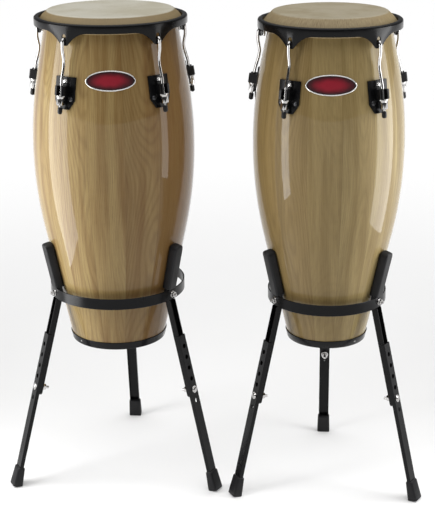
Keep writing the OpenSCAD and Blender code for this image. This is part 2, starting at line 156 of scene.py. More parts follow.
def add_lathe(bm, profile, matrix, segments, ring=True, uv_height=False, material=0):
    """(radius, height) points turned round the local z axis. The UV is (turn, height in metres)."""
    angles = [2 * math.pi * j / segments for j in range(segments)]
    rows = [[(r * math.cos(a), r * math.sin(a), z) for a in angles] for r, z in profile]
    n = len(profile)
    uv = (lambda i, j: (j / segments, profile[i % n][1] / 1000)) if uv_height else None
    add_grid(bm, rows, matrix, ring=ring, uv=uv, material=material)


def add_tube(bm, path, radius, matrix, sides, round_ends=True):
    """A bar round a path of 3-D points. The radius is a number or a function of (length, turn)."""
    points = [Vector(p) for p in path]
    lengths = [0.0]
    for a, b in zip(points, points[1:]):
        lengths.append(lengths[-1] + (b - a).length)
    at = radius if callable(radius) else (lambda s, turn: radius)
    rows = []
    side = None
    for i, p in enumerate(points):
        way = (points[min(i + 1, len(points) - 1)] - points[max(i - 1, 0)]).normalized()
        side = way.orthogonal() if side is None else side - way * side.dot(way)
        side.normalize()
        other = way.cross(side)
        row = []
        for j in range(sides):
            turn = 2 * math.pi * j / sides
            r = at(lengths[i], turn)
            row.append(p + (side * math.cos(turn) + other * math.sin(turn)) * r)
        rows.append(row)
    if round_ends:
        past, share = 0.8, 0.7
        rows.insert(0, shrunk(rows[0], points[0] - (points[1] - points[0]).normalized() * past, share))
        rows.append(shrunk(rows[-1], points[-1] + (points[-1] - points[-2]).normalized() * past, share))
    add_grid(bm, rows, matrix, caps=True)


def shrunk(row, centre, share):
    """A row of points moved to a centre and drawn in to a share of its width."""
    middle = sum((Vector(p) for p in row), Vector()) / len(row)
    return [centre + (Vector(p) - middle) * share for p in row]


def add_prism(bm, outline, x0, x1, matrix):
    """A (y, z) outline with thickness from x0 to x1."""
    add_grid(bm, [[(x, y, z) for y, z in outline] for x in (x0, x1)], matrix, caps=True)


def arc(radius, start, end, centre, step=15):
    """Points on an arc with both its ends, angles in degrees."""
    count = round(abs(end - start) / step)
    turns = [math.radians(start + (end - start) * i / count) for i in range(count + 1)]
    return [(centre[0] + radius * math.cos(a), centre[1] + radius * math.sin(a)) for a in turns]


def rounded(corners, radius, steps=4):
    """A closed outline with its corners rounded."""
    out = []
    for i, corner in enumerate(corners):
        p = Vector(corner)
        a = Vector(corners[i - 1]) - p
        b = Vector(corners[(i + 1) % len(corners)]) - p
        cut = min(radius, 0.45 * a.length, 0.45 * b.length)
        start, end = p + a.normalized() * cut, p + b.normalized() * cut
        for s in range(steps + 1):
            t = s / steps
            out.append(tuple(start * (1 - t) ** 2 + p * 2 * t * (1 - t) + end * t * t))
    return out


def smooth_path(points, steps=5):
    """More points on a smooth curve through the given ones."""
    pts = [Vector(p) for p in points]
    out = []
    for i in range(len(pts) - 1):
        a, b, c, d = pts[max(i - 1, 0)], pts[i], pts[i + 1], pts[min(i + 2, len(pts) - 1)]
        for s in range(steps):
            t = s / steps
            out.append(0.5 * (2 * b + (c - a) * t + (2 * a - 5 * b + 4 * c - d) * t * t
                              + (3 * b - a - 3 * c + d) * t ** 3))
    return out + [pts[-1]]


def new_object(name, bm, materials, sharp=32):
    """An object with smooth faces, and with creases where they meet at more than sharp degrees."""
    bmesh.ops.remove_doubles(bm, verts=bm.verts, dist=1e-7)
    bmesh.ops.recalc_face_normals(bm, faces=bm.faces)
    mesh = bpy.data.meshes.new(name)
    bm.to_mesh(mesh)
    bm.free()
    mesh.shade_smooth()
    mesh.set_sharp_from_angle(angle=math.radians(sharp))
    obj = bpy.data.objects.new(name, mesh)
    bpy.context.scene.collection.objects.link(obj)
    for material in materials:
        mesh.materials.append(material)
    return obj


def add_piece(name, bm, body, materials, nodes, sharp=32, bevel=0.0, bevel_angle=32):
    """Makes a piece that rides on a body and stands for CAD nodes."""
    obj = new_object(name, bm, materials, sharp)
    if bevel:
        soften(obj, bevel, bevel_angle)
    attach(obj, body)
    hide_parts(*nodes)
    return obj


def soften(obj, width, angle):
    """Rounds an object's edges that turn more than an angle in degrees, width in millimetres."""
    bevel = obj.modifiers.new("edges", "BEVEL")
    bevel.width = width / 1000
    bevel.segments = 3
    bevel.limit_method = "ANGLE"
    bevel.angle_limit = math.radians(angle)
    bevel.harden_normals = True


def cut_away(obj, cutter):
    """Cuts one object's shape out of another and removes the cutter."""
    boolean = obj.modifiers.new("cut", "BOOLEAN")
    boolean.operation = "DIFFERENCE"
    boolean.object = cutter
    boolean.solver = "EXACT"
    bpy.context.view_layer.update()
    seen = obj.evaluated_get(bpy.context.evaluated_depsgraph_get())
    mesh = bpy.data.meshes.new_from_object(seen)
    obj.modifiers.clear()
    obj.data = mesh
    bpy.data.objects.remove(cutter)


# ---- the drums' frames ----


def box_mm(node):
    """The low and high corners of a CAD node's box."""
    low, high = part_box(node)
    return low * 1000, high * 1000


class Drum:
    """One drum with its stand: sizes in millimetres and local frames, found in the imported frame."""

    def __init__(self, name, head_r, belly_r, belly_z, base_r, joint_at, badge_turn, nail_at):
        self.name = name
        self.head_r = head_r
        self.belly_r = belly_r
        self.belly_z = belly_z
        self.joint_angle = math.radians(joint_at - 90)
        self.badge_angle = math.radians(badge_turn - 90)
        self.nail_angle = math.radians(nail_at - 90)
        low, high = box_mm(f"{name}_shell")
        self.centre = Vector(((low.x + high.x) / 2, (low.y + high.y) / 2, 0))
        self.bottom_z = low.z
        self.edge_z = high.z
        self.edge_r = head_r - EDGE_INSET
        self.head_z = high.z + SKIN
        low, high = box_mm(f"{name}_rim")
        self.rim_z = high.z
        self.rim_r = (high.x - low.x) / 2
        low, high = box_mm(f"{name}_stand_strap")
        self.strap_z = (low.z + high.z) / 2
        self.strap_r = (high.x - low.x) / 2 - STRAP_T
        self.low_lean = self.tangent(base_r, self.bottom_z, -1)
        self.high_lean = self.tangent(self.edge_r, self.edge_z, 1)

    def tangent(self, r, z, side):
        """Angle at which a straight cone through the point (r, z) leaves the side's long curve."""
        dx, dz = r - self.belly_r + SIDE_CURVE_R, z - self.belly_z
        return math.atan2(dz, dx) - side * math.acos(SIDE_CURVE_R / math.hypot(dx, dz))

    def lean(self, z):
        """The wood's lean from upright at a height: a cone, the side's long curve and a cone again."""
        return min(self.high_lean, max(self.low_lean, math.asin((z - self.belly_z) / SIDE_CURVE_R)))

    def radius(self, z):
        a = self.lean(z)
        r = self.belly_r - SIDE_CURVE_R * (1 - math.cos(a))
        return r - (z - self.belly_z - SIDE_CURVE_R * math.sin(a)) * math.tan(a)

    def turned(self, angle=0.0):
        """A frame on the drum's axis at the floor, with x towards the angle."""
        return TO_METRES @ Matrix.Translation(self.centre) @ Matrix.Rotation(angle, 4, "Z")

    def on_shell(self, angle, z):
        """A frame on the wood, with x outwards and z up along it."""
        lean = Matrix.Rotation(-self.lean(z), 4, "Y")
        return self.turned(angle) @ Matrix.Translation((self.radius(z), 0, z)) @ lean

    def bend_r(self, z):
        """Radius of the wood's bend across a plate that lies on it."""
        return self.radius(z) / math.cos(self.lean(z))

    def lug_angle(self, k):
        """Which way lug k faces, taken from its tuning nut's joint."""
        axis = JOINTS[f"{self.name}_tuning_nut_{k}_turn"]["axis"]
        return math.atan2(axis[1], axis[0])

    def lug_frame(self, k):
        return self.on_shell(self.lug_angle(k), self.rim_z - LUG_DROP)

    def rod_frame(self, k):
        """A frame on the hook's rod at the middle of the block, with z up along the rod."""
        return self.lug_frame(k) @ Matrix.Translation((ROD_GAP, 0, BLOCK_UP))

    def clamp_frame(self, k):
        """Where a clamp bolt meets the upright's inner face: x outwards along it, z up along the leg."""
        joint = JOINTS[f"{self.name}_clamp_nut_{k}_turn"]
        out = Vector(joint["axis"]).normalized()
        up = -Vector(JOINTS[f"{self.name}_leg_{k}_extend"]["axis"]).normalized()
        turn = Matrix((out, up.cross(out), up)).transposed().to_4x4()
        face = Vector(joint["pos_m"]) * 1000 + out * CLAMP_NUT_MIDDLE
        return TO_METRES @ Matrix.Translation(face) @ turn

    def floor_along(self, k):
        """The floor's place along a leg, measured from its clamp bolt."""
        place = self.clamp_frame(k)
        return -(place.translation.z + LEG_X * place.col[0].z) / place.col[2].z

    def strap_frame(self, k):
        """On the upright's inner face at the strap, with x outwards and level."""
        axis = JOINTS[f"{self.name}_clamp_nut_{k}_turn"]["axis"]
        inner = self.strap_r - UP_D / math.cos(self.low_lean)
        return self.turned(math.atan2(axis[1], axis[0])) @ Matrix.Translation((inner, 0, self.strap_z))

    def arm_frame(self, k):
        return self.strap_frame(k) @ Matrix.Rotation(-self.low_lean, 4, "Y")


# ---- node materials ----


def srgb(r, g, b):
    """A colour given as it looks on a screen, 0 to 255."""
    def linear(c):
        c /= 255
        return c / 12.92 if c <= 0.04045 else ((c + 0.055) / 1.055) ** 2.4
    return (linear(r), linear(g), linear(b), 1.0)


def grey(level):
    return (level, level, level, 1.0)


class Material:
    """One node material. A value is a number, a colour or another node's output."""

    def __init__(self, name):
        self.data = bpy.data.materials.new(name)
        self.data.use_nodes = True
        self.tree = self.data.node_tree
        self.surface = self.tree.nodes["Principled BSDF"]

    def put(self, socket, value):
        if isinstance(value, bpy.types.NodeSocket):
            self.tree.links.new(value, socket)
        else:
            socket.default_value = value

    def node(self, kind, inputs, output=0, **settings):
        made = self.tree.nodes.new("ShaderNode" + kind)
        for key, value in settings.items():
            setattr(made, key, value)
        for key, value in inputs.items():
            self.put(made.inputs[key], value)
        return made.outputs[output]

    def math(self, operation, a, b=0.0, c=0.0):
        return self.node("Math", {0: a, 1: b, 2: c}, operation=operation)

    def clamped(self, value, low, high, to_low=0.0, to_high=1.0):
        """The value's place between low and high, as a smooth step."""
        return self.node("MapRange", {0: value, 1: low, 2: high, 3: to_low, 4: to_high},
                         interpolation_type="SMOOTHSTEP")

    def mix(self, share, a, b, blend="MIX"):
        return self.node("Mix", {0: share, 6: a, 7: b}, output=2, data_type="RGBA", blend_type=blend)

    def vector(self, x, y, z):
        return self.node("CombineXYZ", {0: x, 1: y, 2: z})

    def noise(self, vector, scale=1.0, detail=2.0, rough=0.5):
        inputs = {"Vector": vector, "Scale": scale, "Detail": detail, "Roughness": rough}
        return self.node("TexNoise", inputs)

    def object_coordinates(self):
        return self.node("TexCoord", {}, output="Object")

    def uv(self):
        split = self.tree.nodes.new("ShaderNodeSeparateXYZ")
        self.put(split.inputs[0], self.node("TexCoord", {}, output="UV"))
        return split.outputs[0], split.outputs[1]

    def random_three(self, seed):
        """Three random values from 0 to 1 that change with the seed."""
        split = self.tree.nodes.new("ShaderNodeSeparateColor")
        colour = self.node("TexWhiteNoise", {"W": seed}, output="Color", noise_dimensions="1D")
        self.put(split.inputs[0], colour)
        return split.outputs

    def bump(self, height, distance, strength):
        return self.node("Bump", {"Height": height, "Distance": distance, "Strength": strength})

    def finish(self, **inputs):
        for key, value in inputs.items():
            self.put(self.surface.inputs[key.replace("_", " ")], value)
        return self.data


RING_GAP = 0.0042
SIDE_BEND = -0.5556


def stave_width(m, height, belly_r, belly_z):
    """A stave's width in metres at a height. SIDE_BEND gives the side's long curve as a parabola."""
    from_belly = m.math("SUBTRACT", height, belly_z / 1000)
    squared = m.math("MULTIPLY", from_belly, from_belly)
    radius = m.math("MULTIPLY_ADD", squared, SIDE_BEND, belly_r / 1000)
    return m.math("MULTIPLY", radius, 2 * math.pi / STAVES)


def growth_rings(m, across, luck_a, luck_b, sway, ripple):
    """Rings RING_GAP metres apart round a pith that lies at each stave's own place and depth."""
    depth = m.math("MULTIPLY_ADD", luck_a, 0.075, m.math("MULTIPLY_ADD", sway, 0.11, -0.05))
    aside = m.math("SUBTRACT", across, m.math("MULTIPLY", m.math("SUBTRACT", luck_b, 0.5), 0.13))
    squares = m.math("ADD", m.math("MULTIPLY", aside, aside), m.math("MULTIPLY", depth, depth))
    wavy = m.math("MULTIPLY_ADD", ripple, 0.004, m.math("SQRT", squares))
    wave = m.math("SINE", m.math("MULTIPLY", wavy, 2 * math.pi / RING_GAP))
    return m.math("MULTIPLY_ADD", wave, 0.5, 0.5)


def wood_material(name, belly_r, belly_z, seed, pale_at, pale, dark, honey, amber):
    """Lacquered staves. The UV is the turn from a joint between two staves and the height.

    The staves go from pale to honey round the shell, and pale_at is the palest one's turn in degrees.
    """
    m = Material(name)
    turn, height = m.uv()
    along = m.math("MULTIPLY", turn, STAVES)
    stave = m.math("FLOOR", along)
    layer = m.math("MULTIPLY_ADD", stave, 3.7, seed)
    luck_a, luck_b, luck_c = m.random_three(m.math("ADD", stave, seed))
    width = stave_width(m, height, belly_r, belly_z)
    off_centre = m.math("SUBTRACT", m.math("FRACT", along), 0.5)
    across = m.math("MULTIPLY", off_centre, width)

    def streaks(scale_across, scale_up, detail, rough=0.5):
        x, y = m.math("MULTIPLY", across, scale_across), m.math("MULTIPLY", height, scale_up)
        return m.noise(m.vector(x, y, layer), detail=detail, rough=rough)

    ring = growth_rings(m, across, luck_a, luck_b, streaks(5, 2.4, 1), streaks(40, 9, 2))
    figure = m.math("MULTIPLY_ADD", luck_c, 0.16, 0.06)
    late_wood = m.math("MULTIPLY", m.math("POWER", ring, 2.0), figure)
    fibre = streaks(900, 16, 4, 0.6)
    pore = m.clamped(streaks(1500, 55, 1), 0.62, 0.74)
    cloud = streaks(48, 2.6, 4)
    one = 2 * math.pi / STAVES
    from_palest = m.math("MULTIPLY_ADD", stave, one, one / 2 - math.radians(pale_at))
    paleness = m.math("MULTIPLY_ADD", luck_a, 0.5, m.math("COSINE", from_palest))
    warm = m.mix(m.clamped(paleness, 1.2, 0.25), pale, honey)
    base = m.mix(m.clamped(cloud, 0.35, 0.7, 0.0, 0.75), warm, amber)
    grain = m.math("ADD", late_wood, m.math("MULTIPLY_ADD", fibre, 1.0, -0.36))
    grained = m.mix(m.math("MAXIMUM", grain, 0.0), base, dark)
    pored = m.mix(m.math("MULTIPLY", pore, 0.3), grained, dark)
    tone = m.math("MULTIPLY_ADD", luck_b, 0.14, 0.93)
    toned = m.mix(1.0, pored, m.node("CombineColor", {0: tone, 1: tone, 2: tone}), "MULTIPLY")
    from_joint = m.math("MULTIPLY", m.math("SUBTRACT", 0.5, m.math("ABSOLUTE", off_centre)), width)
    joint = m.clamped(from_joint, 0.0002, 0.0008, 0.3, 0.0)
    lacquer = m.bump(m.noise(m.object_coordinates(), scale=26, detail=1), 0.0004, 0.25)
    return m.finish(Base_Color=m.mix(joint, toned, srgb(74, 48, 26)),
                    Roughness=m.math("MULTIPLY_ADD", fibre, 0.2, 0.4), Specular_IOR_Level=0.12,
                    Coat_Weight=1.0, Coat_Roughness=0.035, Coat_IOR=1.29, Coat_Normal=lacquer)


def metal_material(name, pale, dark, low, high):
    """Bare or plated metal with faint smudges, its roughness from low to high."""
    m = Material(name)
    place = m.object_coordinates()
    smudge = m.noise(place, scale=85, detail=3)
    fine = m.noise(place, scale=1400, detail=1)
    return m.finish(Base_Color=m.mix(smudge, pale, dark), Metallic=1.0,
                    Roughness=m.clamped(smudge, 0.3, 0.75, low, high), Normal=m.bump(fine, 0.00001, 0.4))


def coat_material(name, pale, dark, low, high, specular, grain, bump):
    """Powder coat or rubber: near black, with fine grain and slow changes of gloss."""
    m = Material(name)
    place = m.object_coordinates()
    slow = m.noise(place, scale=30, detail=3)
    fine = m.noise(place, scale=grain, detail=2)
    return m.finish(Base_Color=m.mix(slow, pale, dark), Roughness=m.clamped(slow, 0.3, 0.7, low, high),
                    Specular_IOR_Level=specular, Normal=m.bump(fine, bump, 0.6))


def skin_material(name, head_z, pale, patch, skirt, skirt_dark):
    """Rawhide: cloudy on top, yellower and fibrous down its skirt."""
    m = Material(name)
    turn, height = m.uv()
    place = m.object_coordinates()
    cloud = m.noise(place, scale=11, detail=4, rough=0.6)
    speck = m.noise(place, scale=330, detail=2)
    top = m.mix(m.clamped(cloud, 0.35, 0.7), pale, patch)
    down = m.vector(m.math("MULTIPLY", turn, 420), m.math("MULTIPLY", height, 90), 0.0)
    streak = m.noise(down, detail=4, rough=0.65)
    side = m.mix(m.clamped(streak, 0.35, 0.7), skirt, skirt_dark)
    drop = m.math("SUBTRACT", head_z / 1000, height)
    worn = m.math("ADD", drop, m.math("MULTIPLY_ADD", streak, 0.003, -0.0015))
    both = m.mix(m.clamped(worn, 0.0006, 0.0028), top, side)
    colour = m.mix(m.math("MULTIPLY", m.clamped(speck, 0.6, 0.8), 0.2), both, skirt_dark)
    return m.finish(Base_Color=colour, Roughness=m.clamped(cloud, 0.3, 0.7, 0.5, 0.62),
                    Normal=m.bump(m.math("ADD", speck, streak), 0.00012, 0.5))


def enamel_material():
    """The badge's red enamel, darker towards its edge. The UV's x is 0 in the middle and 1 at the edge."""
    m = Material("badge_enamel")
    outward, _ = m.uv()
    cloud = m.noise(m.object_coordinates(), scale=60, detail=3)
    shade = m.clamped(m.math("MULTIPLY_ADD", cloud, 0.25, outward), 0.45, 1.08)
    red = m.mix(shade, srgb(140, 18, 38), srgb(44, 5, 12))
    colour = m.mix(m.clamped(outward, 0.94, 0.97), red, srgb(14, 10, 11))
    return m.finish(Base_Color=colour, Roughness=0.35, Coat_Weight=1.0, Coat_Roughness=0.05)


def floor_material():
    """White paper, brighter further away: painted light that stands in for the strip lights, which reach
    only the floor near the drums.
    """
    m = Material("floor_paper")
    place = m.object_coordinates()
    distance = m.node("VectorMath", {0: place}, output="Value", operation="LENGTH")
    near = m.mix(m.noise(place, scale=3, detail=2), grey(0.77), grey(0.79))
    # Painted light: the paler far floor makes up for lamp light that falls only near the drums.
    colour = m.mix(m.clamped(distance, 0.8, 3.0), near, grey(0.93))
    return m.finish(Base_Color=colour, Roughness=0.9, Specular_IOR_Level=0.1)


CHROME = metal_material("chrome", (0.64, 0.63, 0.62, 1), (0.48, 0.47, 0.46, 1), 0.07, 0.18)
ZINC = metal_material("dark_zinc", (0.10, 0.10, 0.105, 1), (0.05, 0.05, 0.052, 1), 0.25, 0.4)
SILVER = metal_material("badge_bezel", (0.86, 0.85, 0.84, 1), (0.74, 0.73, 0.72, 1), 0.18, 0.3)
BLACK = coat_material("black_powder_coat", (0.005, 0.005, 0.0055, 1), (0.003, 0.003, 0.0035, 1),
                      0.18, 0.28, 0.17, 1500, 0.00004)
RUBBER = coat_material("black_rubber", (0.008, 0.008, 0.009, 1), (0.005, 0.005, 0.006, 1),
                       0.42, 0.55, 0.3, 900, 0.00006)
ENAMEL = enamel_material()
WOODS = {
    "large": dict(seed=3.0, pale_at=-62.0, pale=srgb(160, 139, 92), dark=srgb(82, 54, 26),
                  honey=srgb(120, 94, 56), amber=srgb(112, 82, 43)),
    "small": dict(seed=41.0, pale_at=62.0, pale=srgb(158, 141, 97), dark=srgb(84, 66, 36),
                  honey=srgb(137, 116, 75), amber=srgb(121, 101, 61)),
}
SKINS = {
    "large": dict(pale=srgb(190, 186, 171), patch=srgb(172, 166, 146), skirt=srgb(136, 116, 76),
                  skirt_dark=srgb(128, 110, 74)),
    "small": dict(pale=srgb(162, 152, 128), patch=srgb(146, 134, 106), skirt=srgb(156, 139, 102),
                  skirt_dark=srgb(122, 102, 66)),
}


# ---- drum pieces ----


def build_shell(drum, material):
    """The glued staves as one turned wall with a rounded top edge."""
    steps, foot_bevel, edge_h = 60, 0.4, 3
    reach = drum.edge_z - edge_h - drum.bottom_z
    outer = [(drum.radius(z), z) for z in (drum.bottom_z + reach * i / steps for i in range(steps + 1))]
    outer[0] = (outer[0][0] - foot_bevel, outer[0][1])
    r, z = drum.edge_r, drum.edge_z
    edge = [(r, z - 1.7), (r - 0.8, z - 0.7), (r - 1.8, z - 0.15), (r - 3.2, z), (r - 5.5, z - 0.9),
            (r - 8.5, z - 3.5)]
    inner = [(x - WALL, y) for x, y in reversed(outer)]
    bm = bmesh.new()
    add_lathe(bm, outer + edge + inner, drum.turned(drum.joint_angle), segments=STAVES * 14, uv_height=True)
    name = drum.name
    add_piece(f"{name}_staved_shell", bm, f"{name}_drum", [material], [f"{name}_shell"], 50)


def build_head(drum, material):
    """The skin over the shell's edge, up inside the rim's lip and rolled round the flesh hoop."""
    top, rim, r = drum.head_z, drum.rim_z, drum.head_r
    lip_r = drum.rim_r - LIP - 0.8
    under = rim - LIP_DEEP - 0.4
    out = drum.rim_r - RIM_WALL - 0.6
    back = out - 12
    flat = [(0, top - 0.4), (r * 0.5, top - 0.3), (r - 14, top - 0.05), (r - 9, top), (r - 6.5, top - 0.2)]
    edge = [(r - 4.4, top - 0.8), (r - 2.5, top - 1.9), (r - 0.9, top - 3.4), (r + 0.6, top - 5.3)]
    skirt = [(r + 0.45 * (lip_r - r), top - 2.5 + 0.43 * (rim - 4 - top)), (lip_r - 1.6, rim - 4.4),
             (lip_r - 0.3, rim - 6.6), (lip_r, under)]
    roll = [(out - 3, under), (out - 0.9, under - 0.9), (out, under - 3), (out, under - 9),
            (out - 0.9, under - 11.1), (out - 3, under - 12), (back + 3, under - 12),
            (back + 0.9, under - 11.1), (back, under - 9), (back, under - 5)]
    inside = [(lip_r - 3.5, under - 1), (r - 1, top - 6), (r - 3, top - SKIN), (0, top - SKIN)]
    bm = bmesh.new()
    add_lathe(bm, flat + edge + skirt + roll + inside, drum.turned(), segments=ROUND_SEGMENTS, ring=False,
              uv_height=True)
    name = drum.name
    add_piece(f"{name}_rawhide_head", bm, f"{name}_drum", [material], [f"{name}_head"], 60)


def build_bottom_band(drum):
    z, h, t = drum.bottom_z, 16.5, 1.8
    low, high = drum.radius(z), drum.radius(z + h)
    profile = [(low - SUNK, z), (low + t - 0.5, z), (low + t, z + 0.5), (high + t, z + h - 0.6),
               (high + t - 0.6, z + h), (high - SUNK, z + h)]
    bm = bmesh.new()
    add_lathe(bm, profile, drum.turned(), segments=ROUND_SEGMENTS)
    name = drum.name
    add_piece(f"{name}_band", bm, f"{name}_drum", [BLACK], [f"{name}_bottom_band"])


def build_band_nails(drum):
    head = [(0, 3.0), (1.1, 2.9), (1.9, 2.5), (2.2, 1.9), (2.2, 1.7), (0, 1.7)]
    bm = bmesh.new()
    for k in range(NAILS):
        place = drum.on_shell(drum.nail_angle + 2 * math.pi * k / NAILS, drum.bottom_z + 9)
        add_lathe(bm, head, place @ Z_OUTWARDS, segments=20, ring=False)
    name = drum.name
    add_piece(f"{name}_nails", bm, f"{name}_drum", [CHROME], [f"{name}_band_nails"])


def bracket_columns(bend_r):
    """Cross-sections (x, y, z) of the bent plate from one side to the other, its lower corners cut off."""
    half_w, half_h, step = 25.0, 34.0, 2.5
    foot_half_w, corner_slope = 13.0, 20 / 12
    columns = []
    for i in range(21):
        y = step * i - half_w
        low = max(0.0, abs(y) - foot_half_w) * corner_slope - half_h
        bend = math.sqrt(bend_r ** 2 - y ** 2) - bend_r
        back, front = bend - SUNK, bend + PLATE_T
        columns.append([(x, y, z) for x, z in ((back, low), (front, low), (front, half_h), (back, half_h))])
    return columns


def fork_outline():
    """The (x, y) outline of the block with its slot open to the front."""
    slot, half_w, corner = ROD_R + 1.2, 12, 3
    reach = ROD_GAP + 9
    left = [(0, -half_w), (reach - corner, -half_w), (reach, corner - half_w), (reach, -slot)]
    right = [(reach, slot), (reach, half_w - corner), (reach - corner, half_w), (0, half_w)]
    return left + arc(slot, 270, 90, (ROD_GAP, 0)) + right


def build_brackets(drum):
    block_half_h = 10
    bm = bmesh.new()
    bend_r = drum.bend_r(drum.rim_z - LUG_DROP)
    levels = (BLOCK_UP - block_half_h, BLOCK_UP + block_half_h)
    block = [[(x, y, z) for x, y in fork_outline()] for z in levels]
    for k in range(1, LUGS + 1):
        place = drum.lug_frame(k)
        add_grid(bm, bracket_columns(bend_r), place, caps=True)
        add_grid(bm, block, place, caps=True)
    name = drum.name
    add_piece(f"{name}_brackets", bm, f"{name}_drum", [BLACK], [f"{name}_lug_brackets"],
              bevel=0.7, bevel_angle=40)


def build_bracket_bolts(drum):
    """Domed bolts with nuts inside the shell. The upper one of each three is chrome, the others dark."""
    head = [(0, 0.9), (1.5, 0.9), (1.5, 2.0), (2.2, 2.05), (3.6, 1.6), (4.7, 0.7), (5, 0), (3, 0)]
    shaft = [(3, -WALL - 8), (0, -WALL - 8)]
    nut_at = -WALL - PLATE_T - 2.5
    bm = bmesh.new()
    for k in range(1, LUGS + 1):
        for i, (y, z) in enumerate(LUG_BOLTS):
            place = drum.lug_frame(k) @ Matrix.Translation((PLATE_T, y, z)) @ Z_OUTWARDS
            add_lathe(bm, head + shaft, place, segments=24, ring=False, material=min(i, 1))
            add_hex(bm, 5.2, nut_at - 4, nut_at, 2.9, place, material=1)
    name = drum.name
    add_piece(f"{name}_bracket_bolts", bm, f"{name}_drum", [CHROME, ZINC], [f"{name}_lug_bolts"])


def add_hex(bm, corner_r, z0, z1, bore, matrix, material=0):
    """A six-sided nut with its corners chamfered at both ends."""
    flat = corner_r * math.cos(math.pi / 6)
    chamfer = (corner_r - flat) * 0.9
    turns = [math.radians(10 * j) for j in range(36)]
    side = [flat / math.cos(a % (math.pi / 3) - math.pi / 6) for a in turns]

    def row(radii, z):
        return [(r * math.cos(a), r * math.sin(a), z) for r, a in zip(radii, turns)]

    levels = [(z0, flat), (z0 + chamfer, corner_r), (z1 - chamfer, corner_r), (z1, flat)]
    rows = [row([min(r, limit) for r in side], z) for z, limit in levels]
    rows += [row([bore] * len(turns), z) for z in (z1, z0)]
    add_grid(bm, rows, matrix, ring=True, material=material)


def build_badge(drum):
    """A domed oval of enamel in a raised bezel, bent round the shell."""
    z = drum.rim_z - BADGE_DROP
    bend_r = drum.bend_r(z)
    place = drum.on_shell(drum.badge_angle, z)
    angles = [2 * math.pi * i / 120 for i in range(120)]

    def on_oval(half_w, half_h, a, lift):
        y = half_w * math.cos(a)
        return (math.sqrt(bend_r ** 2 - y * y) - bend_r + lift, y, half_h * math.sin(a))

    section = [(0, -SUNK), (0, 0.9), (0.4, 1.4), (1.1, 1.6), (1.9, 1.5), (2.4, 1.1), (2.4, -SUNK)]
    bm = bmesh.new()
    add_grid(bm, [[on_oval(BADGE_HALF_W - inset, BADGE_HALF_H - inset, a, lift) for inset, lift in section]
                  for a in angles], place, ring=True)
    name = drum.name
    add_piece(f"{name}_badge_bezel", bm, f"{name}_drum", [SILVER], [f"{name}_badge"], 60)

    rings, edge_lift, dome = 14, 1.1, 0.35
    inner_w, inner_h = BADGE_HALF_W - 2.2, BADGE_HALF_H - 2.2
    shares = [1 - i / rings for i in range(rings + 1)]
    bm = bmesh.new()
    add_grid(bm, [[on_oval(inner_w * share, inner_h * share, a, edge_lift + dome * (1 - share ** 2))
                   for a in angles] for share in shares], place,
             uv=lambda i, j: (shares[i % len(shares)], j / len(angles)))
    add_piece(f"{name}_badge_enamel", bm, f"{name}_drum", [ENAMEL], [f"{name}_badge"], 60)


# ---- the rim and what moves with it ----


def ear_drop(angle):
    """How far the rim's lower edge drops at an angle in degrees from the middle of an ear."""
    curve = EAR_DROP * (1 - min(abs(angle), EAR_HALF) / EAR_HALF) ** 2.4
    blend = 1.5
    return -blend * math.log(math.exp(-curve / blend) + math.exp(-EAR_FLAT / blend))


def ear_angles():
    """Degrees from an ear's middle over its share of the rim, closest together near the tip."""
    half = [0.25 * i for i in range(1, 25)] + [6 + 0.5 * i for i in range(1, 29)]
    half += [20 + 16 * i / 12 for i in range(1, 13)]
    return [-a for a in reversed(half)] + [0.0] + half[:-1]


def rim_section(drum, drop):
    """The (radius, height) loop of the pressed rim where its lower edge has dropped that far."""
    r, top = drum.rim_r, drum.rim_z
    low = top - RIM_BAND - drop
    wall, lip = r - RIM_WALL, r - LIP
    under = top - LIP_DEEP
    return [(wall + 0.7, low), (r - 0.9, low), (r - 0.25, low + 0.3), (r, low + 1), (r, top - 4.6),
            (r - 0.35, top - 2.8), (r - 1.3, top - 1.3), (r - 2.7, top - 0.35), (r - 4.5, top),
            (lip + 2.4, top), (lip + 1, top - 0.4), (lip + 0.2, top - 1.3), (lip, top - 2.6), (lip, under),
            (wall, under), (wall, low + 0.7)]


def build_rim(drum):
    """The pressed rim, with a tall round-ended hole through each ear."""
    rows = []
    for k in range(LUGS):
        middle = drum.lug_angle(1) + 2 * math.pi * k / LUGS
        for degrees in ear_angles():
            a = middle + math.radians(degrees)
            section = rim_section(drum, ear_drop(degrees))
            rows.append([(r * math.cos(a), r * math.sin(a), z) for r, z in section])
    bm = bmesh.new()
    add_grid(bm, rows, drum.turned(), ring=True)
    name = drum.name
    obj = new_object(f"{name}_pressed_rim", bm, [BLACK], 38)
    cutter = bmesh.new()
    low = drum.rim_z - HOOK_DROP + HOOK_BEND_R - ROD_R - 0.2
    hole = arc(EAR_HOLE_R, 0, 180, (0, low + EAR_HOLE_R + EAR_HOLE_RISE))
    hole += arc(EAR_HOLE_R, 180, 360, (0, low + EAR_HOLE_R))
    for k in range(1, LUGS + 1):
        add_prism(cutter, hole, drum.rim_r - 8, drum.rim_r + 8, drum.turned(drum.lug_angle(k)))
    cut_away(obj, new_object(f"{name}_ear_holes", cutter, []))
    obj.data.set_sharp_from_angle(angle=math.radians(38))
    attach(obj, f"{name}_rim_and_hooks")
    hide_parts(f"{name}_rim")


def lug_point(drum, along):
    """(radius, height) of a point on the leaning rod, that far above the block's middle."""
    z = drum.rim_z - LUG_DROP
    a = drum.lean(z)
    x, y = ROD_GAP, BLOCK_UP + along
    return drum.radius(z) + x * math.cos(a) - y * math.sin(a), z + x * math.sin(a) + y * math.cos(a)


